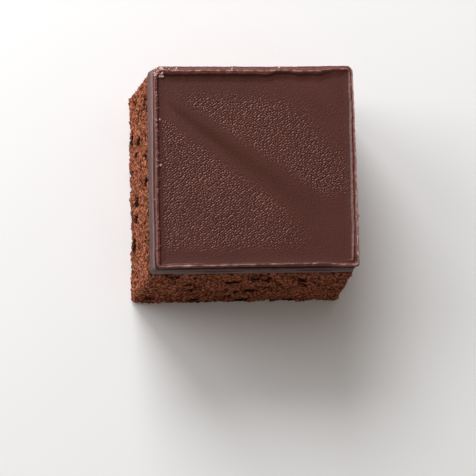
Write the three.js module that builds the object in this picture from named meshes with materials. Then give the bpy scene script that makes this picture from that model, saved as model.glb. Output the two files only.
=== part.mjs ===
// A small square of chocolate layer cake, cut by hand and standing on its base.
// Millimetres, +Z up. The origin is the middle of the underside. The back is +Y and the left side is -X.
//
// From the bottom up it is a dark sponge with an open crumb, a smooth slab of ganache, and a thin dark
// glaze that was pushed up into an uneven lip all round when the square was cut.

import * as THREE from 'three';
import { ImprovedNoise } from 'three/addons/math/ImprovedNoise.js';

// ---- driving dimensions ----------------------------------------------------------------------------

const width = 70;
const depth = 71.2;
const height = 42;
const spongeTop = 34.5;
const ganacheTop = 40.2;
const glazeTop = 40.9;

const baseFlare = 2;
const handCutSkew = THREE.MathUtils.degToRad(2);
const spongeCorners = { backLeft: 1.2, frontLeft: 1.2, frontRight: 1.2, backRight: 1.2 };
const ganacheCorners = { backLeft: 1.6, frontLeft: 1.2, frontRight: 1.2, backRight: 1.6 };
const glazeCorners = { backLeft: 2.8, frontLeft: 1.8, frontRight: 1.0, backRight: 2.2 };
const cornerSteps = 4;

const crumbStep = 1.65;
const crumbRecess = 0.5;
const crumbRelief = 0.6;
const crumbSize = 3.4;
const crumbFlattening = 1.6;
const wallRelief = 0.6;
const wallWaveLength = 14;

// How far the ganache's foot and its upper edge stand out from the outline, and how far they slipped.
const ganacheFoot = { proud: -0.05, slip: new THREE.Vector2(-0.35, 0.35) };
const ganacheEdge = { proud: -0.33, slip: new THREE.Vector2(0, 0.2) };
const ganacheStep = 3;
const ganacheWave = 0.2;

const glazeSetBack = 0.27;
const glazeSlip = new THREE.Vector2(0.25, 0.28);
const glazeStep = 2.2;
const lipWidth = 2.1;
const lipWave = 0.25;
const lipBreaks = 0.45;

// The holes that show most in the crumb: how far along the side from its middle, how far up from the
// base, and how wide and tall the hole is.
const leftHoles = [
  [23.5, 2.6, 3.8, 5.2],
  [-15, 2.8, 4.2, 5.6],
  [16.2, 16.3, 2.6, 3.8],
  [8.1, 27.4, 2.2, 3.4],
  [-0.9, 26.7, 2.4, 3],
  [-3.9, 11, 2.8, 3.4],
  [-9.4, 9.7, 2.4, 3.2],
  [12.3, 12.1, 1.8, 3],
  [27.2, 28.5, 3.4, 2.6],
];
const frontHoles = [
  [-5.7, 23.9, 4.8, 2.8],
  [-26.2, 30.6, 3, 2],
  [2.7, 27.5, 3, 2.2],
  [18.8, 25.4, 2.8, 2.4],
  [21, 19.8, 2.6, 2.2],
  [2.3, 12.7, 3.2, 2.4],
  [-18.6, 15.8, 4.4, 1.8],
  [1.5, 2.4, 3.6, 3.4],
  [17.7, 2.2, 3.2, 3],
];

// Each side of the cake: where it faces, its half length, and how many smaller holes are scattered on it.
const sides = [
  { outX: -1, outY: 0, halfLength: depth / 2, shown: leftHoles, scattered: 14, seed: 11 },
  { outX: 0, outY: -1, halfLength: width / 2, shown: frontHoles, scattered: 16, seed: 23 },
  { outX: 0, outY: 1, halfLength: width / 2, shown: [], scattered: 26, seed: 37 },
  { outX: 1, outY: 0, halfLength: depth / 2, shown: [], scattered: 26, seed: 53 },
];
const holeDepthShare = 0.6;

// ---- noise and seeded draws ------------------------------------------------------------------------

const noise = new ImprovedNoise();

// Smooth unevenness between about -1 and 1, whose bumps are about as long as the length given.
function waveAt(x, y, z, length, shift) {
  return noise.noise(x / length + shift, y / length + 2 * shift, z / length + 3 * shift);
}

// Numbers between low and high, the same in each run for the same seed.
function seededDraw(seed) {
  const modulus = 2147483647;
  let state = seed;
  return (low, high) => {
    state = (state * 16807) % modulus;
    return low + (high - low) * (state / modulus);
  };
}

// ---- the square's outline --------------------------------------------------------------------------

function squareOutline(radii) {
  const corners = [
    [1, -1, radii.frontRight],
    [1, 1, radii.backRight],
    [-1, 1, radii.backLeft],
    [-1, -1, radii.frontLeft],
  ];
  const outline = new THREE.Path();
  corners.forEach(([sideX, sideY, radius], turn) => {
    const start = (turn - 1) * Math.PI / 2;
    const middleX = sideX * (width / 2 - radius);
    const middleY = sideY * (depth / 2 - radius);
    outline.absarc(middleX, middleY, radius, start, start + Math.PI / 2);
  });
  outline.closePath();
  return outline;
}

// Points round the outline about one step apart, each with the direction that faces away from the cake.
function stationsRound(radii, step) {
  const stations = [];
  for (const stretch of squareOutline(radii).curves) {
    const count = stretch.isLineCurve ? Math.round(stretch.getLength() / step) : cornerSteps;
    for (let i = 0; i < count; i += 1) {
      const point = stretch.getPointAt(i / count);
      const along = stretch.getTangentAt(i / count);
      stations.push({ x: point.x, y: point.y, outX: along.y, outY: -along.x });
    }
  }
  return stations;
}

// One ring of vertices round the cake. The whole outline grows by the amount given, or shrinks, so that
// its corners keep their shape and don't fold. outAt then gives how far each station lies out from it.
function ringOf(stations, grow, outAt, upAt, slip = new THREE.Vector2()) {
  const widerX = 1 + grow / (width / 2);
  const widerY = 1 + grow / (depth / 2);
  return stations.map((station) => {
    const out = outAt(station);
    const y = station.y * widerY + station.outY * out + slip.y;
    const x = station.x * widerX + station.outX * out + slip.x + Math.tan(handCutSkew) * y;
    return new THREE.Vector3(x, y, upAt(station));
  });
}

// The sides lean out towards the base by this much.
function flareAt(up) {
  return baseFlare * (1 - up / height);
}

// ---- a closed solid from rings, with a fan of triangles below and above ------------------------------

function closedSolid(rings) {
  const count = rings[0].length;
  const lastRing = rings[rings.length - 1];
  const vertices = rings.flat();
  const lowMiddle = vertices.push(new THREE.Vector3(0, 0, rings[0][0].z)) - 1;
  const highMiddle = vertices.push(new THREE.Vector3(0, 0, lastRing[0].z)) - 1;
  const last = (rings.length - 1) * count;

  const triangles = [];
  for (let i = 0; i < count; i += 1) {
    const next = (i + 1) % count;
    triangles.push(lowMiddle, next, i);
    for (let r = 0; r + 1 < rings.length; r += 1) {
      const low = r * count;
      const high = low + count;
      if ((i + r) % 2) {
        triangles.push(low + i, low + next, high + next, low + i, high + next, high + i);
      } else {
        triangles.push(low + i, low + next, high + i, low + next, high + next, high + i);
      }
    }
    triangles.push(highMiddle, last + i, last + next);
  }
  const geometry = new THREE.BufferGeometry().setFromPoints(vertices);
  geometry.setIndex(triangles);
  geometry.computeVertexNormals();
  return geometry;
}

function namedMesh(name, geometry, color, roughness) {
  const material = new THREE.MeshStandardMaterial({ color, roughness, metalness: 0 });
  const mesh = new THREE.Mesh(geometry, material);
  mesh.name = name;
  return mesh;
}

// ---- sponge: open crumb with holes, widest at the base ---------------------------------------------

function holesOn(side) {
  const draw = seededDraw(side.seed);
  const holes = side.shown.map(([along, up, wide, tall]) => ({ along, up, wide, tall }));
  for (let i = 0; i < side.scattered; i += 1) {
    const along = draw(-0.92, 0.92) * side.halfLength;
    const up = draw(0.04, 0.94) * spongeTop;
    const wide = draw(1.6, 3.2);
    holes.push({ along, up, wide, tall: wide * draw(0.6, 1.1) });
  }
  return holes;
}

const sidesWithHoles = sides.map((side) => ({ ...side, holes: holesOn(side) }));

// How deep the crumb is dented here: each hole is a part of an egg shape that opens through the side.
function holeDepthAt(station, up) {
  const side = sidesWithHoles.find(({ outX, outY }) => station.outX * outX + station.outY * outY > 0.9);
  if (!side) {
    return 0;
  }
  const along = side.outX === 0 ? station.x : station.y;
  const opening = 1.35;
  const dents = side.holes.map((hole) => {
    const reach = 2 * Math.hypot((along - hole.along) / hole.wide, (up - hole.up) / hole.tall);
    const deepest = holeDepthShare * Math.min(hole.wide, hole.tall);
    return deepest * Math.sqrt(Math.max(0, opening - reach * reach));
  });
  return Math.max(...dents);
}

function makeSponge() {
  const stations = stationsRound(spongeCorners, crumbStep);
  const rows = Math.round(spongeTop / crumbStep);
  const rings = [];
  for (let row = 0; row <= rows; row += 1) {
    const up = (spongeTop * row) / rows;
    const outAt = (station) => {
      const wall = wallRelief * waveAt(station.x, station.y, up, wallWaveLength, 1.7);
      const crumb = crumbRelief * waveAt(station.x, station.y, up * crumbFlattening, crumbSize, 5.3);
      return wall + crumb - holeDepthAt(station, up);
    };
    rings.push(ringOf(stations, flareAt(up) - crumbRecess, outAt, () => up));
  }
  return namedMesh('sponge', closedSolid(rings), 0x6b3d2c, 0.95);
}

// ---- ganache: a smooth slab whose foot slipped a little to the back left when it was cut ---------------

function makeGanache() {
  const stations = stationsRound(ganacheCorners, ganacheStep);
  const thickness = ganacheTop - spongeTop;
  // The section of its edge: share of its thickness, and how far the knife drew that level in.
  const edge = [[0, 0.3], [0.12, 0], [0.5, 0.05], [0.88, 0], [1, 0.15]];
  const rings = edge.map(([share, drawnIn]) => {
    const up = spongeTop + thickness * share;
    const proud = THREE.MathUtils.lerp(ganacheFoot.proud, ganacheEdge.proud, share);
    const slip = new THREE.Vector2().lerpVectors(ganacheFoot.slip, ganacheEdge.slip, share);
    const outAt = (station) => ganacheWave * waveAt(station.x, station.y, up, wallWaveLength, 8.1);
    return ringOf(stations, flareAt(up) + proud - drawnIn, outAt, () => up, slip);
  });
  return namedMesh('ganache', closedSolid(rings), 0x54403c, 0.5);
}

// ---- glaze: a thin flat coat inside an uneven raised lip ----------------------------------------------

// How high the lip stands at this place, as a share of its full height. It sags in some stretches.
function lipShareAt(station) {
  const slow = waveAt(station.x, station.y, 0, 17, 2.9);
  const quick = waveAt(station.x, station.y, 0, 4.5, 6.7);
  return THREE.MathUtils.clamp(0.85 + lipBreaks * (slow + 0.9 * quick), 0.35, 1);
}

function makeGlaze() {
  const stations = stationsRound(glazeCorners, glazeStep);
  const lipHeight = height - glazeTop;
  // The lip's section from the outside up, over and in: share of its width in from the outline, and
  // share of its height above the flat top.
  const lipSection = [
    [-0.04, -0.45],
    [-0.06, 0.25],
    [0.06, 0.8],
    [0.3, 1],
    [0.55, 0.8],
    [0.8, 0.3],
    [1, -0.06],
  ];
  const rings = [ringOf(stations, -glazeSetBack, () => 0, () => ganacheTop, glazeSlip)];
  for (const [inward, rise] of lipSection) {
    const grow = -glazeSetBack - inward * lipWidth;
    const outAt = (station) => lipWave * waveAt(station.x, station.y, 0, 9, 4.4);
    const upAt = (station) => glazeTop + lipHeight * rise * (rise > 0 ? lipShareAt(station) : 1);
    rings.push(ringOf(stations, grow, outAt, upAt, glazeSlip));
  }
  // The flat top reaches the middle in wider and wider steps.
  for (const inward of [3.4, 9, 20]) {
    rings.push(ringOf(stations, -inward, () => 0, () => glazeTop, glazeSlip));
  }
  return namedMesh('glaze', closedSolid(rings), 0x583a36, 0.42);
}

// ---- the cake ------------------------------------------------------------------------------------------

const cake = new THREE.Group();
cake.add(makeSponge(), makeGanache(), makeGlaze());

export default cake;
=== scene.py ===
"""A small hand-cut square of chocolate layer cake: sponge, ganache and a glaze with a raised lip.

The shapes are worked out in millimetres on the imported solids' own outline and levels, and turned to metres
where each mesh is made.
"""

import itertools
import math

import bmesh
import bpy
import numpy as np
from mathutils import Matrix, Vector


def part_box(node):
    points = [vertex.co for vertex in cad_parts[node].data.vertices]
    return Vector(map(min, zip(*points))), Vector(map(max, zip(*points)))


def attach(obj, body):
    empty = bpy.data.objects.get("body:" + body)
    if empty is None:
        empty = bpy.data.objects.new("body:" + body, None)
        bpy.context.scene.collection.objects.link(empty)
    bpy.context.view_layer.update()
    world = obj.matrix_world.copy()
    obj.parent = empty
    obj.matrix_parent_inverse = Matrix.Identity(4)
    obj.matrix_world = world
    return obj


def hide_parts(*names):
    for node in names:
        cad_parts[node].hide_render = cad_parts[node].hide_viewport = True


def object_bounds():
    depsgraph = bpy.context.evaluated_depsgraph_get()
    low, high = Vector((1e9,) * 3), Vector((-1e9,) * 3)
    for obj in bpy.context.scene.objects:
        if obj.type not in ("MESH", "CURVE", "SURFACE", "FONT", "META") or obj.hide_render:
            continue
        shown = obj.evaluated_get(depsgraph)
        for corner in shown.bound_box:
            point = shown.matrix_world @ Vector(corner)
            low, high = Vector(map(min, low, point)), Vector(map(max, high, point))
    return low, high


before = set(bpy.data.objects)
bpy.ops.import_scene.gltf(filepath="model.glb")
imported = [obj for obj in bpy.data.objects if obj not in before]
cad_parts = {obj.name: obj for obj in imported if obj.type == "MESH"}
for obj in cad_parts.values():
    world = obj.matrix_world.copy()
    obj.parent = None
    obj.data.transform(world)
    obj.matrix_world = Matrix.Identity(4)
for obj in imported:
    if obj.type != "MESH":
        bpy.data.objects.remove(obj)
solid_low, solid_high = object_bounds()

MM = 0.001

# ---- the cake's own sizes, in millimetres ------------------------------------------------------------

WIDTH = 70
DEPTH = 71.2
HEIGHT = solid_high.z / MM
SPONGE_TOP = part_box("sponge")[1].z / MM
GANACHE_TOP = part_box("ganache")[1].z / MM
GLAZE_TOP = 40.9

HALVES = np.array([WIDTH / 2, DEPTH / 2])
BASE_FLARE = 2.0
HAND_CUT_SKEW = math.radians(2)
# Each corner's side in x and in y, and its radius, anticlockwise from the front right.
SPONGE_CORNERS = [(1, -1, 1.2), (1, 1, 1.2), (-1, 1, 1.2), (-1, -1, 1.2)]
GANACHE_CORNERS = [(1, -1, 1.2), (1, 1, 1.6), (-1, 1, 1.6), (-1, -1, 1.2)]
GLAZE_CORNERS = [(1, -1, 1.0), (1, 1, 2.2), (-1, 1, 2.8), (-1, -1, 1.8)]

# ---- the photograph's camera --------------------------------------------------------------------------

# Where it looks from, round the cake from the front and up from the table, how far it is turned about its
# own line of sight, and how far off it stands.
VIEW_AZIMUTH = math.radians(-38.31)
VIEW_ELEVATION = math.radians(72.46)
VIEW_ROLL = math.radians(36.45)
VIEW_DISTANCE = 1.1
# The middle of the picture: across and up in it from the cake's upright middle line, and up that line.
VIEW_CENTRE = (-1.77 * MM, -18.76 * MM, 20 * MM)
# The focal length and the picture's width in the photograph's pixels, and the sensor's width in millimetres.
FOCAL_PIXELS = 3175.6
PHOTO_PIXELS = 476
SENSOR_WIDTH = 36


def make_camera():
    """A long lens from above the front left corner, turned so that the cake's sides stand square."""
    azimuth, elevation, roll = VIEW_AZIMUTH, VIEW_ELEVATION, VIEW_ROLL
    back = Vector((
        math.sin(azimuth) * math.cos(elevation),
        -math.cos(azimuth) * math.cos(elevation),
        math.sin(elevation),
    ))
    level = Vector((math.cos(azimuth), math.sin(azimuth), 0))
    upright = back.cross(level)
    right = math.cos(roll) * level + math.sin(roll) * upright
    up = math.cos(roll) * upright - math.sin(roll) * level
    across, along, middle_up = VIEW_CENTRE
    target = Vector((0, 0, middle_up)) + across * right + along * up
    data = bpy.data.cameras.new("photo_camera")
    data.sensor_width = SENSOR_WIDTH
    data.lens = FOCAL_PIXELS * SENSOR_WIDTH / PHOTO_PIXELS
    data.clip_start = 0.01
    data.clip_end = 20
    camera = bpy.data.objects.new("photo_camera", data)
    turned = Matrix((right, up, back)).transposed().to_4x4()
    camera.matrix_world = Matrix.Translation(target + VIEW_DISTANCE * back) @ turned
    bpy.context.scene.collection.objects.link(camera)
    bpy.context.scene.camera = camera


# ---- unevenness ---------------------------------------------------------------------------------------

LATTICE = 256
LATTICE_SEED = 7
lattice_draw = np.random.default_rng(LATTICE_SEED)
SHUFFLE = lattice_draw.permutation(LATTICE)
SLOPES = lattice_draw.normal(size=(LATTICE, 3))
SLOPES /= np.linalg.norm(SLOPES, axis=1, keepdims=True)
SPOTS = lattice_draw.uniform(size=(LATTICE, 3))
# Which way a shift goes through the pattern.
SHIFT_WAY = np.array([1.0, 2.0, 3.0])
# Brings the waves to about -1 to 1.
WAVE_GAIN = 1.6


def shuffled(cell):
    """One number under LATTICE for each cell of a 3-D lattice."""
    index = SHUFFLE[cell[..., 0] % LATTICE]
    index = SHUFFLE[(index + cell[..., 1]) % LATTICE]
    return SHUFFLE[(index + cell[..., 2]) % LATTICE]


def wave(points, length, shift):
    """Smooth unevenness between about -1 and 1, with bumps of about the length given. A shift of its own
    takes each use to another part of the pattern."""
    places = points / length + shift * SHIFT_WAY
    cell = np.floor(places).astype(int)
    inside = places - cell
    ease = inside ** 3 * (inside * (inside * 6 - 15) + 10)
    total = np.zeros(len(points))
    for corner in itertools.product((0, 1), repeat=3):
        slope = SLOPES[shuffled(cell + corner)]
        share = np.prod(np.where(corner, ease, 1 - ease), axis=1)
        total += share * np.sum(slope * (inside - corner), axis=1)
    return WAVE_GAIN * total


def waves(points, rows):
    """Waves on top of each other. Each row says how strong and how long one is, and its shift."""
    return sum(strength * wave(points, length, shift) for strength, length, shift in rows)


def nearest_spot(points, size, shift):
    """Distance to the nearest of a scatter of spots about one size apart, as a share of the size,
    and a number from 0 to 1 that belongs to that spot."""
    places = points / size + shift * SHIFT_WAY
    cell = np.floor(places).astype(int)
    inside = places - cell
    nearest = np.full(len(points), np.inf)
    whose = np.zeros(len(points))
    for step in itertools.product((-1, 0, 1), repeat=3):
        index = shuffled(cell + step)
        apart = np.linalg.norm(SPOTS[index] + step - inside, axis=1)
        closer = apart < nearest
        nearest = np.where(closer, apart, nearest)
        whose = np.where(closer, index / LATTICE, whose)
    return nearest, whose


def seeded_draw(seed):
    """Draws numbers between low and high by the same rule as the solids' holes."""
    modulus = 2147483647
    multiplier = 16807
    state = [seed]

    def draw(low, high):
        state[0] = (state[0] * multiplier) % modulus
        return low + (high - low) * state[0] / modulus

    return draw


def ramp(value, low, high):
    """0 below low, 1 above high, with soft ends. low may be above high."""
    share = np.clip((value - low) / (high - low), 0, 1)
    return share * share * (3 - 2 * share)


# ---- the square's outline -----------------------------------------------------------------------------

# How squarely a point has to face a side's way to count as on its flat part.
SQUARE_ON = 0.9


def stations_round(corners, step):
    """Points round the outline about one step apart, and the direction that faces out at each."""
    places = []
    outs = []
    for turn, (side_x, side_y, radius) in enumerate(corners):
        start = (turn - 1) * math.pi / 2
        end = start + math.pi / 2
        arc_count = max(4, round(radius * math.pi / 2 / step))
        arc = start + (end - start) * np.arange(arc_count) / arc_count
        out = np.stack([np.cos(arc), np.sin(arc)], 1)
        middle = [side_x, side_y] * (HALVES - radius)
        places.append(middle + radius * out)
        outs.append(out)
        facing = np.array([math.cos(end), math.sin(end)])
        next_x, next_y, next_radius = corners[(turn + 1) % 4]
        next_middle = [next_x, next_y] * (HALVES - next_radius)
        here = middle + radius * facing
        there = next_middle + next_radius * facing
        line_count = round(np.linalg.norm(there - here) / step)
        share = np.arange(line_count)[:, None] / line_count
        places.append(here + share * (there - here))
        outs.append(np.tile(facing, (line_count, 1)))
    return np.concatenate(places), np.concatenate(outs)


def along_side(side, plan):
    """How far along a side each point lies, from the side's middle."""
    return plan @ np.abs(side["facing"])[::-1]


def flare_at(up):
    """The sides lean out towards the base by this much."""
    return BASE_FLARE * (1 - up / HEIGHT)


def on_level(plan):
    """Points of the plan as points in space."""
    return np.column_stack([plan, np.zeros(len(plan))])


def skewed(points):
    """The square was cut a little out of true."""
    points = points.copy()
    points[:, 0] += math.tan(HAND_CUT_SKEW) * points[:, 1]
    return points


# ---- meshes from arrays -------------------------------------------------------------------------------

def net_faces(net, closed):
    """Quads between the rows of a net of vertex numbers. A closed net joins its last column to its first."""
    if closed:
        net = np.concatenate([net, net[:, :1]], 1)
    corners = [net[:-1, :-1], net[:-1, 1:], net[1:, 1:], net[1:, :-1]]
    return np.stack(corners, -1).reshape(-1, 4)


def fan_faces(middle, ring):
    """Triangles from one vertex to a ring of vertices."""
    return np.stack([np.full(len(ring), middle), ring, np.roll(ring, -1)], 1)


def make_piece(name, points, faces, material, marks):
    """A smooth-shaded mesh of points in millimetres. marks gives each vertex's values for the material."""
    mesh = bpy.data.meshes.new(name)
    mesh.from_pydata((points * MM).tolist(), [], [face.tolist() for part in faces for face in part])
    mesh.polygons.foreach_set("use_smooth", np.ones(len(mesh.polygons), bool))
    for mark, values in marks.items():
        layer = mesh.attributes.new(mark, "FLOAT", "POINT")
        layer.data.foreach_set("value", values.astype(np.float32))
    mesh.materials.append(material)
    mesh.validate()
    mesh.update()
    piece = bpy.data.objects.new(name, mesh)
    bpy.context.scene.collection.objects.link(piece)
    return piece


def ringed_wall(corners, step, levels):
    """Stations times levels, as flat arrays: the place on the outline and the way out. Last comes how many
    stations there are."""
    places, outs = stations_round(corners, step)
    count = len(places)
    up = np.repeat(levels, count)
    base = np.concatenate([np.tile(places, (len(levels), 1)), up[:, None]], 1)
    return base, np.tile(outs, (len(levels), 1)), count


def pushed_out(base, outs, grow, out):
    """Grows the whole outline at each level, so that its corners keep their shape, then moves each point
    out from it."""
    points = base.copy()
    points[:, :2] *= 1 + grow[:, None] / HALVES
    points[:, :2] += outs * out[:, None]
    return points


def capped(points, count):
    """The wall's points with a middle for its underside and its top, and the faces that use them."""
    net = np.arange(len(points)).reshape(-1, count)
    low_middle = len(points)
    high_middle = low_middle + 1
    middles = np.array([[0, 0, points[0, 2]], [0, 0, points[-1, 2]]])
    faces = [net_faces(net, True), fan_faces(low_middle, net[0, ::-1]), fan_faces(high_middle, net[-1])]
    return np.concatenate([points, middles]), faces


# ---- materials ----------------------------------------------------------------------------------------

# The colour sockets of a mix node: how much of the second colour, the two colours, and the result.
MIX_SHARE, MIX_FIRST, MIX_SECOND, MIX_RESULT = 0, 6, 7, 2


def linear(hex_colour):
    """A linear colour from sRGB hex."""
    channels = [int(hex_colour[i:i + 2], 16) / 255 for i in (1, 3, 5)]
    return (*[c / 12.92 if c <= 0.04045 else ((c + 0.055) / 1.055) ** 2.4 for c in channels], 1)


def add_node(tree, kind, inputs=None, **settings):
    """Adds a node with its settings. inputs gives each socket a value, or an output to link it to."""
    made = tree.nodes.new(kind)
    for setting, value in settings.items():
        setattr(made, setting, value)
    for socket, value in (inputs or {}).items():
        if isinstance(value, bpy.types.NodeSocket):
            tree.links.new(value, made.inputs[socket])
        else:
            made.inputs[socket].default_value = value
    return made


def new_material(name):
    """An empty material, and its node tree."""
    material = bpy.data.materials.new(name)
    material.use_nodes = True
    material.node_tree.nodes.clear()
    return material, material.node_tree


def per_metre(length_mm):
    """The scale of a pattern in object coordinates whose features are this long."""
    return 1 / (length_mm * MM)


def noise(tree, place, length_mm, detail, roughness=0.5):
    """Noise whose longest features are this long."""
    return add_node(tree, "ShaderNodeTexNoise", {
        "Vector": place, "Scale": per_metre(length_mm), "Detail": detail, "Roughness": roughness,
    }).outputs["Fac"]


def marked(tree, mark):
    """How strongly the mesh carries a mark."""
    return add_node(tree, "ShaderNodeAttribute", attribute_name=mark).outputs["Fac"]


def ranged(tree, value, limits):
    """Takes a value from one range to another. Each goes from 0 to 1 where limits says nothing else."""
    return add_node(tree, "ShaderNodeMapRange", {"Value": value, **limits}).outputs["Result"]


def mixed(tree, share, *colours):
    """A mix of two colours. Each is sRGB hex, or another node's output."""
    first, second = [linear(colour) if isinstance(colour, str) else colour for colour in colours]
    return add_node(tree, "ShaderNodeMix", {
        MIX_SHARE: share, MIX_FIRST: first, MIX_SECOND: second,
    }, data_type="RGBA").outputs[MIX_RESULT]


def bumped(tree, height, strength, rise_mm, inputs=None, **settings):
    """The normal over a pattern that stands out by rise_mm. inputs gives the bump's other sockets."""
    return add_node(tree, "ShaderNodeBump", {
        "Height": height, "Strength": strength, "Distance": rise_mm * MM, **(inputs or {}),
    }, **settings).outputs["Normal"]


def give_surface(tree, inputs):
    """Ends a material's nodes with its surface."""
    surface = add_node(tree, "ShaderNodeBsdfPrincipled", inputs)
    add_node(tree, "ShaderNodeOutputMaterial", {"Surface": surface.outputs[0]})


def cocoa_sponge():
    """Cocoa sponge, baked and cut with a knife. Its dry open crumb is fully matt: the torn grains are a light
    red brown. Painted shade darkens it much in its pores and holes, between its grains, in the groove under
    the slab and on the left side just below the slab."""
    material, tree = new_material("cocoa_sponge_crumb")
    place = add_node(tree, "ShaderNodeTexCoord").outputs["Object"]
    grain = ranged(tree, noise(tree, place, 0.9, 4, 0.65), {"From Min": 0.43, "From Max": 0.62})
    crumb = mixed(tree, grain, "#3f1306", "#d1825f")
    baked = ranged(tree, noise(tree, place, 9, 2), {"To Max": 0.35})
    patchy = mixed(tree, baked, crumb, "#7a3c28")
    give_surface(tree, {
        # The mesh's mark of painted shade darkens the crumb where shade falls: pores, holes, gaps, the groove
        # and under the slab.
        "Base Color": mixed(tree, marked(tree, "crumb_painted_shade"), patchy, "#250d06"),
        "Roughness": 0.95,
        "IOR": 1.35,
        "Specular IOR Level": 0.25,
        "Normal": bumped(tree, noise(tree, place, 0.45, 3, 0.7), 1, 0.45),
    })
    return material


def set_ganache():
    """Set ganache, drawn smooth by the knife: a greyish brown with a dull satin skin, paler in random
    blotches, and with faint streaks along the cut. Its colour also carries painted light: a painted highlight
    along its upper edge, a tone for each side by how it is lit, and painted shade at the left side's foot and
    in the folds."""
    material, tree = new_material("set_ganache")
    place = add_node(tree, "ShaderNodeTexCoord").outputs["Object"]
    squeezed = add_node(tree, "ShaderNodeMapping", {"Vector": place, "Scale": (1, 1, 9)}).outputs["Vector"]
    give_surface(tree, {
        # The mark mixes random paleness with painted light: the upper edge's painted highlight, a tone per
        # side for its light, and painted shade at the foot and in the folds.
        "Base Color": mixed(tree, marked(tree, "tone_and_painted_light"), "#40231f", "#87645e"),
        "Roughness": 0.5,
        "IOR": 1.45,
        "Specular IOR Level": 0.3,
        "Normal": bumped(tree, noise(tree, squeezed, 5, 4), 0.5, 0.15),
    })
    return material


def satin_glaze():
    """Dark chocolate glaze, poured and set: a satin skin with a soft broad shine. Where damp settled on it,
    it is pimpled and shines a little warmer. The torn lip round it is redder, and pale where it is heaped up
    with torn flakes, which also carry painted glints; along its crests it carries painted highlight lines.
    The band where a blade slid over the top is browner and glossier."""
    material, tree = new_material("satin_chocolate_glaze")
    place = add_node(tree, "ShaderNodeTexCoord").outputs["Object"]
    lip, band, pale_and_painted_glint, pimpled = [marked(tree, mark) for mark in ("lip", "band", "pale_and_painted_glint", "pimpled")]
    skin = mixed(tree, noise(tree, place, 12, 2), "#431b15", "#51241c")
    banded = mixed(tree, band, skin, "#3d1603")
    torn = mixed(tree, noise(tree, place, 0.8, 4, 0.7), "#3b110b", "#6f2d22")
    lipped = mixed(tree, lip, banded, torn)
    on_band = ranged(tree, band, {"To Min": 0.33, "To Max": 0.2})
    # Blisters about as far apart as the mesh's own pimples, and slanted like them, which make them crisper.
    slanted = add_node(tree, "ShaderNodeMapping", {
        "Vector": place, "Rotation": (0, 0, math.radians(-45)), "Scale": (0.78, 1, 0),
    }).outputs["Vector"]
    blister = add_node(tree, "ShaderNodeTexVoronoi", {
        "Vector": slanted, "Scale": per_metre(0.66), "Randomness": 0.62,
    }, voronoi_dimensions="2D").outputs["Distance"]
    dome = add_node(tree, "ShaderNodeMath", {0: blister, 1: blister}, operation="MULTIPLY").outputs[0]
    blistered = bumped(tree, dome, pimpled, 0.35, invert=True)
    give_surface(tree, {
        # The pale colour: on the heap and flakes their pale torn glaze with painted glints, on the crests
        # painted highlight lines.
        "Base Color": mixed(tree, pale_and_painted_glint, lipped, "#cfa59b"),
        "Roughness": ranged(tree, lip, {"To Min": on_band, "To Max": 0.33}),
        "IOR": 1.48,
        "Specular Tint": mixed(tree, pimpled, "#ffffff", "#ffe8e0"),
        "Normal": bumped(tree, noise(tree, place, 0.5, 2), 0.8, 0.14, {"Normal": blistered}),
    })
    return material


def pale_table():
    """A painted table top, pale and matt."""
    material, tree = new_material("pale_table")
    give_surface(tree, {"Base Color": linear("#eeeff1"), "Roughness": 0.9})
    return material


# ---- sponge -------------------------------------------------------------------------------------------

# How fine the mesh is, round and up.
SPONGE_STEP = 0.34
# How far the crumb lies in from the outline, so that its lumps come out to it.
CRUMB_RECESS = 0.5

# The cut crumb's unevenness, from the longest to the finest: how far it stands out, and its length or size.
WALL_RELIEF = 0.5
WALL_LENGTH = 14
LUMP_RELIEF = 0.35
LUMP_SIZE = 3.2
LUMP_FLATTENING = 1.4
GRAIN_RELIEF = 0.8
GRAIN_SIZE = 1.15
# How far from its middle a grain is level with the crumb, as a share of its size.
GRAIN_LEVEL = 0.55
FINE_RELIEF = 0.2
FINE_SIZE = 0.75
# The pores between the grains. Their radii are shares of how far apart they are.
PORE_DEPTH = 2.2
PORE_SPACING = 2.1
PORE_SMALLEST = 0.14
PORE_SPREAD = 0.34

# The holes that show most: along the side from its middle, up from the base, wide, tall.
LEFT_HOLES = [
    (19.6, 4.0, 3.6, 4.8),
    (-16.9, 4.2, 4.0, 5.2),
    (16.2, 16.3, 2.6, 5.0),
    (8.1, 27.4, 2.2, 4.4),
    (-0.9, 26.7, 2.4, 4.4),
    (-3.9, 11, 2.8, 4.4),
    (-9.4, 9.7, 2.4, 4.2),
    (12.3, 12.1, 1.8, 3),
    (27.2, 28.5, 3.4, 2.6),
]
FRONT_HOLES = [
    (-5.7, 23.9, 4.8, 2.8),
    (-26.2, 30.6, 3, 2),
    (2.7, 27.5, 3, 2.2),
    (18.8, 25.4, 2.8, 2.4),
    (21, 19.8, 2.6, 2.2),
    (2.3, 12.7, 3.2, 2.4),
    (-18.6, 15.8, 4.4, 1.8),
    (1.5, 2.4, 3.6, 3.4),
    (17.7, 2.2, 3.2, 3),
]
# The holes of each side: which way it faces, its half length, the holes that show on it, how many more are
# scattered on it, and the seed for those.
SIDES = [
    {"facing": (-1, 0), "half_length": DEPTH / 2, "shown": LEFT_HOLES, "more": 14, "seed": 11},
    {"facing": (0, -1), "half_length": WIDTH / 2, "shown": FRONT_HOLES, "more": 16, "seed": 23},
    {"facing": (0, 1), "half_length": WIDTH / 2, "shown": [], "more": 26, "seed": 37},
    {"facing": (1, 0), "half_length": DEPTH / 2, "shown": [], "more": 26, "seed": 53},
]
# The limits for the scattered holes: along the side and up it as shares, wide in millimetres, and tall as a
# share of that.
SCATTER_ALONG = (-0.92, 0.92)
SCATTER_UP = (0.04, 0.94)
SCATTER_WIDE = (1.6, 3.2)
SCATTER_TALL = (0.6, 1.1)
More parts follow.
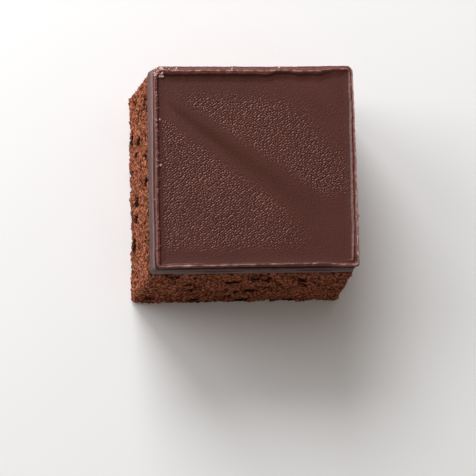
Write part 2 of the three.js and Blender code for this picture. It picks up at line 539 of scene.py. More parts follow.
# How deep a hole's egg is as a share of its lesser width, how wide it opens, as a square of shares of its
# size, and how ragged its edge is.
HOLE_DEPTH_SHARE = 0.6
HOLE_OPENING = 1.35
HOLE_RAGGED = 0.25
HOLE_RAGGED_LENGTH = 1.3
# How far the shade of a hole that shows goes past it, and over how much of its edge, outside and inside, the
# shade of any hole fades. All three are in the terms of HOLE_OPENING.
HOLE_RIM = 0.4
HOLE_FADE_OUTSIDE = 0.2
HOLE_FADE_INSIDE = 0.3

# The groove in the crumb right under the slab: its depth, and how far below the slab it starts and is full.
GROOVE_DEPTH = 0.5
GROOVE_START = 1.1
GROOVE_FULL = 0.3
# How far down from the slab a painted shadow darkens the left side.
SLAB_SHADOW_REACH = 8

# How much painted shade each of these puts into the crumb's colour, where 1 is as dark as it gets.
HOLE_DARK = 1.2
PORE_DARK = 1.3
GAP_DARK = 0.7
GROOVE_DARK = 0.9
SLAB_SHADOW_DARK = 0.35
# How far from the grains' middles the gaps between them start and are full.
GAP_START = 0.5
GAP_FULL = 0.95


def side_holes(side):
    """The holes of a side: those that show, and then the scattered ones."""
    draw = seeded_draw(side["seed"])
    holes = list(side["shown"])
    for _ in range(side["more"]):
        along = draw(*SCATTER_ALONG) * side["half_length"]
        up = draw(*SCATTER_UP) * SPONGE_TOP
        wide = draw(*SCATTER_WIDE)
        holes.append((along, up, wide, wide * draw(*SCATTER_TALL)))
    return holes


def hole_depth(base, outs):
    """How deep the crumb is dented at each point, and how much painted shade it gets there: each hole is part
    of an egg that opens in the side, and those that show most have a rim of painted shade."""
    dent = np.zeros(len(base))
    shade = np.zeros(len(base))
    for side in SIDES:
        here = outs @ np.array(side["facing"]) > SQUARE_ON
        along = along_side(side, base[here, :2])
        up = base[here, 2]
        ragged = 1 + HOLE_RAGGED * wave(base[here], HOLE_RAGGED_LENGTH, 3.3)
        dent_here = np.zeros(len(up))
        shade_here = np.zeros(len(up))
        for number, (middle, height, wide, tall) in enumerate(side_holes(side)):
            reach = 2 * np.hypot((along - middle) / wide, (up - height) / tall) * ragged
            deepest = HOLE_DEPTH_SHARE * min(wide, tall)
            depth = deepest * np.sqrt(np.clip(HOLE_OPENING - reach ** 2, 0, None))
            shaded_to = HOLE_OPENING + (HOLE_RIM if number < len(side["shown"]) else 0)
            dark = ramp(reach ** 2, shaded_to + HOLE_FADE_OUTSIDE, shaded_to - HOLE_FADE_INSIDE)
            dent_here = np.maximum(dent_here, depth)
            shade_here = np.maximum(shade_here, dark)
        dent[here] = dent_here
        shade[here] = shade_here
    return dent, shade


def sponge_wall(base, outs):
    """How far the crumb stands out from the outline at each point, and how dark its painted shade makes it
    there.
    """
    up = base[:, 2]
    wall = WALL_RELIEF * wave(base, WALL_LENGTH, 1.7)
    lumps = LUMP_RELIEF * wave(base * [1, 1, LUMP_FLATTENING], LUMP_SIZE, 5.3)
    apart, _ = nearest_spot(base, GRAIN_SIZE, 2.1)
    grains = GRAIN_RELIEF * (GRAIN_LEVEL - apart)
    fine = FINE_RELIEF * wave(base, FINE_SIZE, 9.2)
    pore_apart, whose = nearest_spot(base, PORE_SPACING, 4.9)
    pore_size = PORE_SMALLEST + PORE_SPREAD * whose
    pores = PORE_DEPTH * np.sqrt(np.clip(pore_size ** 2 - pore_apart ** 2, 0, None))
    holes, shade = hole_depth(base, outs)
    groove = GROOVE_DEPTH * ramp(up, SPONGE_TOP - GROOVE_START, SPONGE_TOP - GROOVE_FULL)
    out = wall + lumps + grains + fine - pores - holes - groove

    # Painted shadow: the left side is darkened just below the slab, where the slab's shadow falls.
    slab_shadow = np.clip(-outs[:, 0], 0, 1) * ramp(up, SPONGE_TOP - SLAB_SHADOW_REACH, SPONGE_TOP)
    # Painted shade in the holes, the pores, the gaps between grains and the groove under the slab.
    dark = np.maximum(HOLE_DARK * holes, shade) + PORE_DARK * pores
    dark += GAP_DARK * ramp(apart, GAP_START, GAP_FULL) + GROOVE_DARK * groove + SLAB_SHADOW_DARK * slab_shadow
    return out, np.clip(dark, 0, 1)


def make_sponge(material):
    rows = round(SPONGE_TOP / SPONGE_STEP)
    base, outs, count = ringed_wall(SPONGE_CORNERS, SPONGE_STEP, np.linspace(0, SPONGE_TOP, rows + 1))
    out, dark = sponge_wall(base, outs)
    grow = flare_at(base[:, 2]) - CRUMB_RECESS
    points, faces = capped(skewed(pushed_out(base, outs, grow, out)), count)
    sponge = make_piece("cocoa_sponge", points, faces, material, {"crumb_painted_shade": np.append(dark, [0, 0])})
    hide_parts("sponge")
    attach(sponge, "root")


# ---- ganache ------------------------------------------------------------------------------------------

# How fine the mesh is round, and how fine up.
GANACHE_STEP = 0.4
GANACHE_ROW = 0.25
# How far the slab's foot and its upper edge stand out from the outline, and how far they slid.
GANACHE_FOOT_PROUD = -0.05
GANACHE_EDGE_PROUD = -0.33
GANACHE_FOOT_SLIP = np.array([-0.35, 0.35])
GANACHE_EDGE_SLIP = np.array([0.0, 0.2])
# The radius of its upper edge, and how many rows go round it.
GANACHE_ROUNDING = 0.45
GANACHE_ROUNDING_ROWS = 6
# How far its foot draws in, and from how far up.
FOOT_DRAWN_IN = 0.45
FOOT_RISE = 1.0
# How far its sides wave in and out, the long waves and the short level ones.
GANACHE_BEND = 0.1
GANACHE_RIPPLE = 0.07
# How far the slab's left side bows out: places along it, and how far out there.
LEFT_BOW = [(-36, 0.1), (-9, 0.2), (8, 0.12), (24, -0.12), (36, -0.1)]

# Folds in the slab's front, where the knife dragged it: how far up they are, where each starts and ends,
# over what length they run out, their depth and half their height, and how far up and down they wander.
SEAM_UP = 37.7
SEAMS = [(-20, -3), (12, 30)]
SEAM_RUN_OUT = 5
SEAM_DEPTH = 0.6
SEAM_HALF_HEIGHT = 0.35
SEAM_WANDER = 0.5

# How pale the slab's colour is made, where 1 is palest: random blotches and specks, and painted light. Each
# side has its own overall tone, painted for how that side is lit. At the left it is paler towards the back,
# paler towards the top with painted shade at its foot, and has a painted highlight along its upper edge. In
# front it is streaked, and paler low down.
BLOTCH_PALE = 0.12
SPECK_PALE = 0.09
LEFT_PALE = -0.08
LEFT_BACK_PALE = 0.22
LEFT_TOP_PALE = 0.22
LEFT_EDGE_HIGHLIGHT = 0.55
FRONT_PALE = 0.12
FRONT_STREAK_PALE = 0.2
FRONT_LOW_PALE = 0.3


def seam_depth(base, outs):
    """How deep the folds in the slab's front are at each point."""
    x, _, up = base.T
    at_front = -outs[:, 1] > SQUARE_ON
    wander = SEAM_WANDER * wave(base * [1, 1, 0], 8, 3.9)
    near = np.exp(-((up - SEAM_UP - wander) / SEAM_HALF_HEIGHT) ** 2)
    length = sum(
        ramp(x, start, start + SEAM_RUN_OUT) * ramp(x, end, end - SEAM_RUN_OUT) for start, end in SEAMS
    )
    return SEAM_DEPTH * near * at_front * length


def ganache_levels():
    """Heights up the slab's side, closest together round its upper edge."""
    side_top = GANACHE_TOP - GANACHE_ROUNDING
    side = np.linspace(SPONGE_TOP, side_top, round((side_top - SPONGE_TOP) / GANACHE_ROW))
    turn = np.linspace(0, math.pi / 2, GANACHE_ROUNDING_ROWS + 1)[1:]
    return np.concatenate([side, side_top + GANACHE_ROUNDING * np.sin(turn)])


def tone_and_painted_light_share(base, outs):
    """How pale the slab's colour is at each point of its sides, its painted highlight and painted shade
    included. Its top, under the glaze, is left dark.
    """
    _, y, up = base.T
    left = np.clip(-outs[:, 0], 0, 1) ** 2
    front = np.clip(-outs[:, 1], 0, 1) ** 2
    # The painted highlight along its upper edge, and the lower part of its front.
    edge = ramp(up, GANACHE_TOP - 0.7, GANACHE_TOP - 0.3) * ramp(up, GANACHE_TOP, GANACHE_TOP - 0.05)
    low = ramp(up, 38.2, 37) * ramp(up, SPONGE_TOP + 0.4, SPONGE_TOP + 1.4)
    streaks = wave(base * [1, 1, 5], 5, 1.9)
    tone = BLOTCH_PALE * wave(base * [1, 1, 3], 3, 7.7) + SPECK_PALE * wave(base, 0.9, 3.1)
    tone += left * (LEFT_PALE + LEFT_BACK_PALE * ramp(y, 0, 22) + LEFT_TOP_PALE * ramp(up, 36, 39.5))
    tone += left * LEFT_EDGE_HIGHLIGHT * edge
    tone += front * (FRONT_PALE + FRONT_STREAK_PALE * streaks + FRONT_LOW_PALE * low)
    return np.clip(tone, 0, 1) * ramp(up, GANACHE_TOP, GANACHE_TOP - 0.1)


def make_ganache(material):
    base, outs, count = ringed_wall(GANACHE_CORNERS, GANACHE_STEP, ganache_levels())
    up = base[:, 2]
    level = (up - SPONGE_TOP) / (GANACHE_TOP - SPONGE_TOP)
    over_edge = np.clip(up - GANACHE_TOP + GANACHE_ROUNDING, 0, None)
    rounding = GANACHE_ROUNDING - np.sqrt(GANACHE_ROUNDING ** 2 - over_edge ** 2)
    seam = seam_depth(base, outs)
    bow = np.interp(base[:, 1], *zip(*LEFT_BOW)) * level * np.clip(-outs[:, 0], 0, 1) ** 2
    drawn_in = FOOT_DRAWN_IN * ramp(up, SPONGE_TOP + FOOT_RISE, SPONGE_TOP)
    uneven = GANACHE_BEND * wave(base, 14, 8.1) + GANACHE_RIPPLE * wave(base * [1, 1, 4], 5, 2.2)
    grow = flare_at(up) + GANACHE_FOOT_PROUD + (GANACHE_EDGE_PROUD - GANACHE_FOOT_PROUD) * level
    points = skewed(pushed_out(base, outs, grow, uneven + bow - rounding - seam - drawn_in))
    points[:, :2] += GANACHE_FOOT_SLIP + (GANACHE_EDGE_SLIP - GANACHE_FOOT_SLIP) * level[:, None]
    points, faces = capped(points, count)
    # Painted shade in the folds: the colour is darker where they are deep.
    tone_and_painted_light = np.append(np.clip(tone_and_painted_light_share(base, outs) - seam, 0, 1), [0, 0])
    ganache = make_piece("ganache_slab", points, faces, material, {"tone_and_painted_light": tone_and_painted_light})
    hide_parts("ganache")
    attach(ganache, "root")


# ---- glaze: the flat top ------------------------------------------------------------------------------

# The band that a blade left across the top: where it starts, which way it runs, which way it is wide, and
# rows of how far along it, how far it reaches to its lower left and to its upper right there, and how strong
# it is there.
BAND_START = np.array([-30.0, 23.0])
BAND_WAY = np.array([0.8, -0.6])
BAND_ACROSS = np.array([0.6, 0.8])
BAND_REACH = [
    (-3, 0.8, 1.2, 0.0),
    (5, 1.9, 2.6, 0.85),
    (20, 2.9, 3.4, 1.0),
    (38, 4.2, 4.4, 0.75),
    (56, 6.0, 5.6, 0.4),
    (70, 8.0, 6.5, 0.0),
]
# How far out the band has faded, and how far past its middle line it is still full, as shares of its reach.
BAND_FADED = 1.2
BAND_FULL = 0.15
BAND_DEPTH = 0.05

# How far off the band the pimples begin and are full, above it and below it, and how much further off with
# each millimetre along it.
UPPER_FROM_BAND = (1.8, 6.0)
LOWER_FROM_BAND = (-2.6, -7.6)
BAND_WIDENS = 0.03
# The other limits of the two pimpled fields: a way over the top, and how far that way the pimples begin and
# are full.
UPPER_LIMITS = [((0, 1), 31, 20), ((1, 0), 34.5, 29), ((-0.35, 1), -26, -14)]
LOWER_LIMITS = [((0, 1), -34, -24), ((1, 0), -34, -31), ((1, 0.3), 18, 2)]
# How much the upper field thins out towards the back right corner.
CORNER_THINNING = 0.8
CORNER_LIMITS = [((1, 1), 26, 44)]
# How full the fields are, in patches, and at the least.
PATCH_SHARE = 0.84
PATCH_WAVES = [(0.25, 9, 4.1), (0.3, 1.5, 6.3)]
PATCH_LEAST = 0.2

# The pimples: how far apart they are the long way and the other way, and both ways, as columns of x and y.
PIMPLE_LENGTH = 1.0
PIMPLE_WIDTH = 0.8
PIMPLE_WAYS = [[0.707, 0.707], [0.707, -0.707]]
# Their height, and how tall the least is and how much taller the others may be, as shares of it.
PIMPLE_RISE = 0.04
PIMPLE_LEAST = 0.55
PIMPLE_MORE = 0.7
# As shares of how far apart they are: how far each strays from its place, its radius, and its crown's.
PIMPLE_SHIFT = 0.34
PIMPLE_RADIUS = 0.6
PIMPLE_CROWN = 0.05


def band_places(plan):
    """How far along the band each point lies, and how far to its upper right."""
    return (plan - BAND_START) @ BAND_WAY, (plan - BAND_START) @ BAND_ACROSS


def band_share(plan):
    """How much of the band each point is."""
    along, across = band_places(plan)
    places, lower_left, upper_right, strength = zip(*BAND_REACH)
    low = np.interp(along, places, lower_left)
    high = np.interp(along, places, upper_right)
    from_below = ramp(across, -BAND_FADED * low, BAND_FULL * low)
    from_above = ramp(across, BAND_FADED * high, -BAND_FULL * high)
    return np.interp(along, places, strength) * from_below * from_above


def within(plan, limits):
    """How far each point is inside all the limits: 0 outside any of them, and 1 well inside."""
    return np.prod([ramp(plan @ way, begins, full) for way, begins, full in limits], axis=0)


def pimple_share(plan):
    """Where the top set with pimples: two fields, one each side of the band. The rest set smooth."""
    along, across = band_places(plan)
    upper = ramp(across - BAND_WIDENS * along, *UPPER_FROM_BAND) * within(plan, UPPER_LIMITS)
    upper *= 1 - CORNER_THINNING * within(plan, CORNER_LIMITS)
    lower = ramp(across, *LOWER_FROM_BAND) * within(plan, LOWER_LIMITS)
    patchy = PATCH_SHARE + waves(on_level(plan), PATCH_WAVES)
    return np.maximum(upper, lower) * np.clip(patchy, PATCH_LEAST, 1)


def pimples(plan):
    """Low blisters a millimetre apart, longer one way, as the glaze set in the fridge's damp."""
    slanted = plan @ PIMPLE_WAYS / [PIMPLE_LENGTH, PIMPLE_WIDTH]
    cell = np.floor(slanted).astype(int)
    rise = np.zeros(len(plan))
    for step in itertools.product((-1, 0, 1), repeat=2):
        index = shuffled(np.column_stack([cell + step, 0 * cell[:, 0]]))
        middle = cell + step + 0.5 + PIMPLE_SHIFT * (2 * SPOTS[index, :2] - 1)
        apart = np.linalg.norm(slanted - middle, axis=1)
        height = PIMPLE_LEAST + PIMPLE_MORE * SPOTS[index, 2]
        rise = np.maximum(rise, height * ramp(apart, PIMPLE_RADIUS, PIMPLE_CROWN))
    return PIMPLE_RISE * rise


# ---- glaze: the lip -----------------------------------------------------------------------------------

# The lip on each side, as sections across it. Each row gives the place along the side, how far the glaze
# reaches past the square's outline there, then how far in from its edge and how high over the flat top are
# its outer crest, the dip behind, its inner crest, and last how far in its foot is.
# peaks: where the knife drew it up further, as place along, half length, and height.
# torn: how far its fine relief stands out.
# pale: how strong the painted highlight line along its outer and its inner crest is.
# meniscus: how high the flat top climbs to its foot.
LIP_SIDES = [
    {
        "facing": (-1, 0),
        "sections": [
            (-36, -0.75, 0.5, 0.8, 0.75, 0.7, 1.05, 0.75, 1.7),
            (-27, -0.75, 0.5, 0.8, 0.75, 0.7, 1.05, 0.75, 1.7),
            (-9, -0.65, 0.5, 0.8, 0.75, 0.7, 0.95, 0.8, 1.65),
            (8, -0.78, 0.5, 0.8, 0.7, 0.7, 0.9, 0.8, 1.6),
            (24, -0.8, 0.45, 0.85, 0.65, 0.75, 0.9, 0.85, 1.7),
            (36, -0.7, 0.4, 0.9, 0.65, 0.8, 0.95, 0.85, 1.9),
        ],
        "peaks": [],
        "torn": 0.2,
        "pale": (0.06, 0.06),
        "meniscus": 0.12,
    },
    {
        "facing": (1, 0),
        "sections": [
            (-36, 0.75, 0.6, 1.0, 1.6, -0.15, 2.2, 0.5, 2.9),
            (-33, 0.8, 0.6, 1.0, 1.65, -0.2, 2.2, 0.5, 2.9),
            (-30, 0.8, 0.6, 1.05, 1.55, 0.15, 2.1, 0.55, 2.8),
            (-20, 0.83, 0.6, 1.0, 1.2, 0.4, 1.75, 0.6, 2.5),
            (1, 0.76, 0.35, 0.95, 1.0, 0.15, 1.5, 0.5, 2.3),
            (22, 0.55, 0.3, 0.9, 0.7, 0.2, 1.15, 0.45, 1.95),
            (36, 0.3, 0.3, 0.85, 0.65, 0.2, 1.0, 0.4, 1.7),
        ],
        "peaks": [],
        "torn": 0.08,
        "pale": (0.65, 0.15),
        "meniscus": 0.12,
    },
    {
        "facing": (0, 1),
        "sections": [
            (-36, 0.3, 1.7, 0.9, 2.1, 0.75, 2.6, 0.75, 3.4),
            (-31, 0.4, 1.9, 1.05, 2.3, 0.85, 2.8, 0.85, 3.6),
            (5, 0.4, 1.9, 1.05, 2.3, 0.85, 2.8, 0.85, 3.6),
            (8, 0.4, 1.8, 0.95, 2.1, 0.7, 2.3, 0.65, 2.9),
            (13, 0.45, 1.8, 0.95, 2.1, 0.7, 2.3, 0.65, 2.9),
            (16, 0.5, 2.1, 1.05, 2.5, 0.8, 2.8, 0.75, 3.5),
            (23.5, 0.5, 2.0, 1.05, 2.4, 0.7, 2.7, 0.65, 3.4),
            (28, 0.65, 1.3, 0.55, 1.6, 0.3, 1.8, 0.25, 2.4),
            (36, 0.65, 1.3, 0.5, 1.6, 0.25, 1.8, 0.2, 2.3),
        ],
        "peaks": [(-26.5, 0.8, 0.2), (-7, 0.6, 0.2), (9.4, 0.9, 0.2)],
        "torn": 0.07,
        "pale": (0.6, 0.0),
        "meniscus": 0.4,
    },
    {
        "facing": (0, -1),
        "sections": [
            (-36, -0.65, 0.2, 0.3, 0.35, 0.28, 0.6, 0.5, 1.4),
            (-29, -0.75, 0.2, 0.35, 0.35, 0.3, 0.6, 0.6, 1.7),
            (-20, -0.85, 0.2, 0.4, 0.35, 0.35, 0.6, 0.6, 1.6),
            (-15, -0.95, 0.2, 0.35, 0.35, 0.3, 0.55, 0.4, 1.2),
            (-4, -1.05, 0.25, 0.45, 0.4, 0.4, 0.6, 0.75, 1.35),
            (9, -1.05, 0.25, 0.45, 0.4, 0.35, 0.65, 0.75, 1.4),
            (22, -1.05, 0.25, 0.5, 0.45, 0.3, 0.8, 0.8, 1.5),
            (28, -0.8, 0.2, 0.55, 0.45, 0.3, 0.8, 0.45, 1.4),
            (36, -0.6, 0.2, 0.6, 0.45, 0.4, 0.8, 0.4, 1.4),
        ],
        "peaks": [
            (-24, 3, 0.3),
            (-7, 1.4, 0.3),
            (-0.8, 1.6, 0.4),
            (5.4, 1.4, 0.3),
            (16.6, 0.7, 0.35),
            (19.7, 0.9, 0.35),
        ],
        "torn": 0.05,
        "pale": (0.05, 0.55),
        "meniscus": 0.12,
    },
]
# Over what distance one side's lip goes over into the next one's at a corner.
SIDE_BLEND = 0.7
# The outer edge's height over the flat top.
EDGE_LEVEL = -0.3
# How far in from the lip's foot the flat top climbs to it.
MENISCUS_REACH = 2.2
# Half the width of the painted highlight line on the outer and on the inner crest, and how much stronger it
# is on the peaks.
OUTER_LINE = 0.35
INNER_LINE = 0.3
PEAKS_PALER = 2
# The lip's share of the height in its sections, and the waves in its height, in its width, in its torn relief
# and in how far it reaches.
STANDS_SHARE = 0.97
STANDS_WAVES = [(0.16, 4.5, 6.7), (0.1, 1.7, 2.2)]
WIDTH_WAVES = [(0.08, 6.5, 3.7), (0.05, 1.9, 7.7)]
TEAR_WAVES = [(1, 1.1, 5.9), (0.8, 0.55, 8.8)]
REACH_WAVES = [(0.1, 5, 4.4), (0.07, 1.9, 6.1)]
# How far in from the edge the glaze goes along where its edge reaches out or draws back, and from where the
# flat middle stays.
REACH_KEPT = 4
REACH_LOST = 10
# The heap of torn flakes at the back left corner: its middle, its radius, within what radius it is full, and
# how high it is, evenly and in its torn relief.
HEAP_AT = np.array([-33.6, 33.8])
HEAP_RADIUS = 2.6
HEAP_FULL = 0.8
HEAP_RISE = 0.1
HEAP_TORN = 0.3
# A line beside each side, along which the waves in its reach are taken: how far it is from the middle.
EDGE_LINE = 40
# The painted highlight on the crests: how much there is everywhere, and how much more in patches.
CREST_GLINT_EVEN = 0.3
CREST_GLINT_PATCHY = 0.7


def rounded_plan(plan):
    """Draws the corners of the square grid in to the outline's round corners."""
    plan = plan.copy()
    for side_x, side_y, radius in GLAZE_CORNERS:
        middle = [side_x, side_y] * (HALVES - radius)
        away = (plan - middle) * [side_x, side_y] / radius
        here = (away > 0).all(axis=1)
        u, v = away[here].T
        round_to = np.column_stack([u * np.sqrt(1 - v ** 2 / 2), v * np.sqrt(1 - u ** 2 / 2)])
        plan[here] = middle + radius * round_to * [side_x, side_y]
    return plan


def from_edge(plan):
    """How far each point lies in from the outline, the way out to it, and how much of it is each side's."""
    gaps = np.column_stack([
        WIDTH / 2 + plan[:, 0], WIDTH / 2 - plan[:, 0], DEPTH / 2 - plan[:, 1], DEPTH / 2 + plan[:, 1],
    ])
    facings = np.array([side["facing"] for side in LIP_SIDES], float)
    inward = gaps.min(axis=1)
    outs = facings[gaps.argmin(axis=1)]
    for side_x, side_y, radius in GLAZE_CORNERS:
        middle = [side_x, side_y] * (HALVES - radius)
        away = plan - middle
        here = (away * [side_x, side_y] > 0).all(axis=1)
        reach = np.hypot(*away[here].T)
        inward[here] = radius - reach
        outs[here] = away[here] / np.maximum(reach, 1e-6)[:, None]
    shares = np.exp(-(gaps - gaps.min(axis=1, keepdims=True)) / SIDE_BLEND)
    return inward, outs, shares / shares.sum(axis=1, keepdims=True)


def lip_section(side, along, inward):
    """Going in from the glaze's edge, over both crests and down to the foot: the lip's height, how much each
    point is lip, and the painted highlight lines along its crests."""
    places, _, *shape = np.array(side["sections"]).T
    sampled = [np.interp(along, places, column) for column in shape]
    crest_in, crest, dip_in, dip, ridge_in, ridge, foot_in = sampled
    drawn_up = [(rise, ramp(np.abs(along - place), half, 0)) for place, half, rise in side["peaks"]]
    crest = crest + sum(rise * share for rise, share in drawn_up)
    height = EDGE_LEVEL + (crest - EDGE_LEVEL) * ramp(inward, -0.1, crest_in)
    height += (dip - crest) * ramp(inward, crest_in, dip_in)
    height += (ridge - dip) * ramp(inward, dip_in, ridge_in)
    height -= ridge * ramp(inward, ridge_in, foot_in)
    height += side["meniscus"] * ramp(inward, foot_in + MENISCUS_REACH, ridge_in)
    outer, inner = side["pale"]
    pale = outer * ramp(np.abs(inward - crest_in), OUTER_LINE, 0.05)
    pale += inner * ramp(np.abs(inward - ridge_in), INNER_LINE, 0.05)
    pale *= 1 + PEAKS_PALER * sum(share for _, share in drawn_up)
    return height, ramp(inward, ridge_in + 0.5, ridge_in - 0.1), pale


def lip_rise(plan):
    """The lip's height over the flat top at each point, how much it is lip, and how pale it is painted there:
    pale torn flakes with painted glints on the heap, painted highlights on the crests.
    """
    inward, outs, shares = from_edge(plan)
    place = on_level(plan)
    edge = on_level(plan + outs * inward[:, None])
    stands = STANDS_SHARE + waves(edge, STANDS_WAVES)
    width = 1 + waves(edge, WIDTH_WAVES)
    tear = waves(place, TEAR_WAVES)
    rise = np.zeros(len(plan))
    lip = np.zeros(len(plan))
    pale = np.zeros(len(plan))
    for side, share in zip(LIP_SIDES, shares.T):
        height, is_lip, is_pale = lip_section(side, along_side(side, plan), inward / width)
        rise += share * (height * stands + side["torn"] * tear * is_lip)
        lip += share * is_lip
        pale += share * is_pale
    heap = ramp(np.linalg.norm(plan - HEAP_AT, axis=1), HEAP_RADIUS, HEAP_FULL)
    rise += heap * ramp(inward, 0, 0.4) * (HEAP_RISE + HEAP_TORN * tear)
    # Painted highlight lines on the crests, in patches, and on the heap its pale torn flakes with painted
    # glints.
    patchy = CREST_GLINT_EVEN + CREST_GLINT_PATCHY * ramp(wave(place, 2.2, 1.3), -0.3, 0.4)
    pale_and_painted_glint = heap * ramp(tear, -0.2, 0.6) + pale * patchy
    return rise, np.maximum(lip, heap), np.clip(pale_and_painted_glint, 0, 1)


def top_rise(plan):
    """The glaze's whole relief over its flat level, and its marks for the material."""
    rise, lip, pale_and_painted_glint = lip_rise(plan)
    flat = 1 - lip
    band = flat * band_share(plan)
    pimpled = flat * pimple_share(plan)
    marks = {"lip": lip, "pale_and_painted_glint": pale_and_painted_glint, "band": band, "pimpled": pimpled}
    return rise + pimpled * pimples(plan) - BAND_DEPTH * band, marks


def settled(plan):
    """The glaze's place on the ganache: each side reaches past the square's outline or draws back from it,
    and takes what lies near it along."""
    moved = plan.copy()
    for side in LIP_SIDES:
        facing = np.array(side["facing"])
        along = along_side(side, plan)
        places, reaches, *_ = np.array(side["sections"]).T
        edge = on_level(along[:, None] * np.abs(facing)[::-1] + EDGE_LINE * facing)
        reach = np.interp(along, places, reaches) + waves(edge, REACH_WAVES)
        gap = abs(facing @ HALVES) - plan @ facing
        moved += (reach * ramp(gap, REACH_LOST, REACH_KEPT))[:, None] * facing
    return moved


# ---- glaze: its mesh ----------------------------------------------------------------------------------

# How fine the mesh is on the flat top and on the lip, and how far in from the edge the lip's part goes.
GLAZE_STEP = 0.25
LIP_STEP = 0.165
LIP_ZONE = 3.3
# The glaze's own wall under its edge: how many rows it has, how far in its foot is, and how rough it is.
WALL_ROWS = 5
UNDERCUT = 0.25
WALL_ROUGHNESS = 0.05


def grid_lines(half):
    """Lines across the top: close together over the lip, wider over the flat middle."""
    lip_count = round(LIP_ZONE / LIP_STEP)
    flat_count = round(2 * (half - LIP_ZONE) / GLAZE_STEP)
    over_lip = np.linspace(-half, -half + LIP_ZONE, lip_count + 1)
    flat = np.linspace(-half + LIP_ZONE, half - LIP_ZONE, flat_count + 1)[1:-1]
    return np.concatenate([over_lip, flat, -over_lip[::-1]])


def make_glaze(material):
    x, y = np.meshgrid(grid_lines(WIDTH / 2), grid_lines(DEPTH / 2))
    plan = rounded_plan(np.column_stack([x.ravel(), y.ravel()]))
    rise, marks = top_rise(plan)
    top = np.column_stack([settled(plan), GLAZE_TOP + rise])

    # The rim goes once round the grid, and the wall's rings lie under it.
    net = np.arange(x.size).reshape(x.shape)
    rim = np.concatenate([net[0, :-1], net[:-1, -1], net[-1, :0:-1], net[:0:-1, 0]])
    _, outs, _ = from_edge(plan[rim])
    wall = []
    rings = []
    for row, share in enumerate(np.linspace(0, 1, WALL_ROWS, endpoint=False)):
        ring = top[rim].copy()
        ring[:, 2] = GANACHE_TOP + share * (top[rim, 2] - GANACHE_TOP)
        undercut = UNDERCUT * (1 - share) - WALL_ROUGHNESS * wave(ring, 1.6, 2.7)
        ring[:, :2] -= outs * undercut[:, None]
        wall.append(ring)
        rings.append(len(top) + row * len(rim) + np.arange(len(rim)))
    middle = len(top) + WALL_ROWS * len(rim)
    points = np.concatenate([top, *wall, [[0, 0, GANACHE_TOP]]])
    wall_faces = net_faces(np.array([*rings, rim]), True)
    faces = [net_faces(net, False), wall_faces, fan_faces(middle, rings[0][::-1])]

    # The wall and the underside are all lip.
    below = len(points) - len(top)
    marks = {mark: np.append(values, np.full(below, mark == "lip")) for mark, values in marks.items()}
    glaze = make_piece("satin_glaze", skewed(points), faces, material, marks)
    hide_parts("glaze")
    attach(glaze, "root")


# ---- loose crumbs -------------------------------------------------------------------------------------

FLAKES_SEED = 71
CRUMBS_SEED = 97
# Flakes of glaze that stand out on the lip: along x, along y, radius, and how pale they are, partly their
# torn glaze and partly painted glint.
FLAKES_SEEN = [
    (-33.0, 17, 0.4, 0.8),
    (-33.0, 1, 0.45, 0.8),
    (35.1, -17, 0.45, 0.9),
    (-26.5, 34.6, 0.4, 1.0),
    (-7, 34.5, 0.4, 0.9),
    (9.4, 34.8, 0.45, 1.0),
]
# The rest are scattered: how many, from and to along x, from and to along y, smallest and largest radius, and
# least and most pale, partly torn glaze and partly painted glint.
FLAKES_SCATTERED = [
    (44, -34.9, -33.6, -33, 32, 0.12, 0.3, 0.0, 0.4),
    (46, -35, -31.8, 31.8, 35.6, 0.16, 0.48, 0.3, 1.4),
    (16, -31.5, -27, 33.4, 35.2, 0.12, 0.3, 0.2, 1.0),
    (16, 34, 34.9, -34, -8, 0.12, 0.26, 0.1, 0.9),
]
# Sponge crumbs that the knife left at the back left corner, as above.
CRUMBS_SCATTERED = (10, -34.8, -32, 32, 35, 0.16, 0.3, 0.0, 0.0)
# Crumbs that cling to the cut sponge: how many to a side, and the limits for where they are, along the side
# and up it as shares, and for their radii.
WALL_CRUMBS = 24
CLING_ALONG = (-0.9, 0.9)
CLING_UP = (0.02, 0.98)
CLING_RADII = (0.3, 0.62)
# How far a bit's middle is off the lip or off the sponge, as a share of its radius.
OFF_LIP = 0.3
OFF_SPONGE = 0.2


def scattered(draw, count, *limits):
    """Rows of drawn numbers. limits gives each column's lowest and highest."""
    return [tuple(draw(low, high) for low, high in zip(limits[::2], limits[1::2])) for _ in range(count)]


def laid_on_lip(crumbs):
    """The middles and radii of crumbs that lie on the lip, and how pale they are, partly torn glaze and
    partly painted glint.
    """
    x, y, sizes, pale_and_painted_glint = np.array(crumbs).T
    plan = np.column_stack([x, y])
    rise, _ = top_rise(plan)
    middles = np.column_stack([settled(plan), GLAZE_TOP + rise + OFF_LIP * sizes])
    return middles, sizes, np.clip(pale_and_painted_glint, 0, 1)


def clinging_to_wall(draw):
    """The middles and radii of crumbs that cling to the cut sponge."""
    places = []
    outs = []
    for side in SIDES:
        facing = np.array(side["facing"])
        for _ in range(WALL_CRUMBS):
            along = draw(*CLING_ALONG) * side["half_length"]
            up = draw(*CLING_UP) * SPONGE_TOP
            places.append([*(facing * HALVES + along * np.abs(facing)[::-1]), up])
            outs.append(facing)
    places = np.array(places)
    outs = np.array(outs, float)
    sizes = np.array([draw(*CLING_RADII) for _ in places])
    out, _ = sponge_wall(places, outs)
    grow = flare_at(places[:, 2]) - CRUMB_RECESS
    return pushed_out(places, outs, grow, out + OFF_SPONGE * sizes), sizes


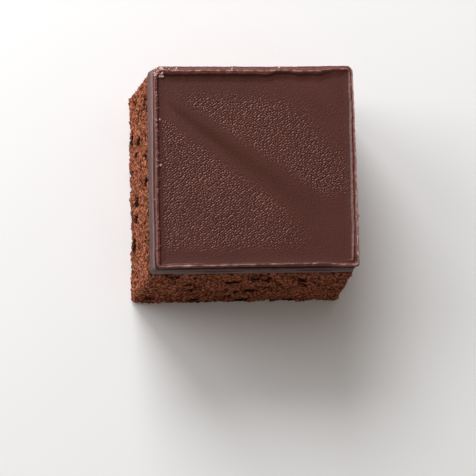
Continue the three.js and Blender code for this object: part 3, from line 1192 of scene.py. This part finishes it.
def make_lumps(name, middles, sizes, material, marks):
    """Small torn lumps as one piece. marks gives each mark's value: one for all lumps, or one for each."""
    ball = bmesh.new()
    bmesh.ops.create_icosphere(ball, subdivisions=3, radius=1)
    shape = np.array([vertex.co for vertex in ball.verts])
    corners = np.array([[vertex.index for vertex in face.verts] for face in ball.faces])
    ball.free()
    points = []
    faces = []
    for number, (middle, size) in enumerate(zip(middles, sizes)):
        shift = 10 + 3.7 * number
        lumpy = 1 + waves(shape, [(0.55, 1.1, shift), (0.3, 0.5, shift)])
        points.append(middle + size * shape * lumpy[:, None])
        faces.append(corners + number * len(shape))
    points = skewed(np.concatenate(points))
    each = np.ones(len(sizes))
    marks = {mark: np.repeat(value * each, len(shape)) for mark, value in marks.items()}
    lumps = make_piece(name, points, faces, material, marks)
    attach(lumps, "root")


def make_flakes(material):
    draw = seeded_draw(FLAKES_SEED)
    flakes = list(FLAKES_SEEN)
    for rule in FLAKES_SCATTERED:
        flakes += scattered(draw, *rule)
    middles, sizes, pale_and_painted_glint = laid_on_lip(flakes)
    marks = {"lip": 1, "pale_and_painted_glint": pale_and_painted_glint, "band": 0, "pimpled": 0}
    make_lumps("glaze_flakes", middles, sizes, material, marks)


def make_crumbs(material):
    draw = seeded_draw(CRUMBS_SEED)
    on_wall, wall_sizes = clinging_to_wall(draw)
    on_lip, lip_sizes, _ = laid_on_lip(scattered(draw, *CRUMBS_SCATTERED))
    middles = np.concatenate([on_wall, on_lip])
    sizes = np.concatenate([wall_sizes, lip_sizes])
    make_lumps("loose_crumbs", middles, sizes, material, {"crumb_painted_shade": 0})


# ---- table and light ----------------------------------------------------------------------------------

TABLE_SIZE = 4.0
ROOM_GREY = 0.24
# Each softbox: the way it shines from, how far off it is, its size, and its power.
SOFTBOXES = {
    "back_softbox": ((-0.26, 0.76, 0.52), 1.2, 0.7, 15.5),
    "left_softbox": ((-0.8, 0.35, 0.42), 1.2, 0.8, 8.5),
    "overhead_softbox": ((-0.03, 0.456, 0.89), 1.3, 0.9, 1.1),
}


def make_table():
    mesh = bpy.data.meshes.new("table_top")
    half = TABLE_SIZE / 2
    corners = [(-half, -half, 0), (half, -half, 0), (half, half, 0), (-half, half, 0)]
    mesh.from_pydata(corners, [], [(0, 1, 2, 3)])
    mesh.materials.append(pale_table())
    table = bpy.data.objects.new("table_top", mesh)
    bpy.context.scene.collection.objects.link(table)


def soft_light(name, way, distance, size, watts):
    """A square softbox that shines on the middle of the cake from the way given."""
    data = bpy.data.lights.new(name, "AREA")
    data.size = size
    data.energy = watts
    light = bpy.data.objects.new(name, data)
    way = Vector(way).normalized()
    light.location = Vector((0, 0, HEIGHT / 2 * MM)) + distance * way
    light.rotation_euler = way.to_track_quat("Z", "Y").to_euler()
    bpy.context.scene.collection.objects.link(light)


def light_room():
    for name, (way, distance, size, watts) in SOFTBOXES.items():
        soft_light(name, way, distance, size, watts)
    world = bpy.data.worlds.new("pale_room")
    world.use_nodes = True
    world.node_tree.nodes.clear()
    backdrop = add_node(world.node_tree, "ShaderNodeBackground", {
        "Color": linear("#fff3e6"), "Strength": ROOM_GREY,
    })
    add_node(world.node_tree, "ShaderNodeOutputWorld", {"Surface": backdrop.outputs[0]})
    bpy.context.scene.world = world
    bpy.context.scene.view_settings.view_transform = "Standard"


# ---- the cake -----------------------------------------------------------------------------------------

make_camera()
light_room()
make_table()
sponge_crumb = cocoa_sponge()
make_sponge(sponge_crumb)
make_ganache(set_ganache())
glaze_skin = satin_glaze()
make_glaze(glaze_skin)
make_flakes(glaze_skin)
make_crumbs(sponge_crumb)

bpy.context.view_layer.update()
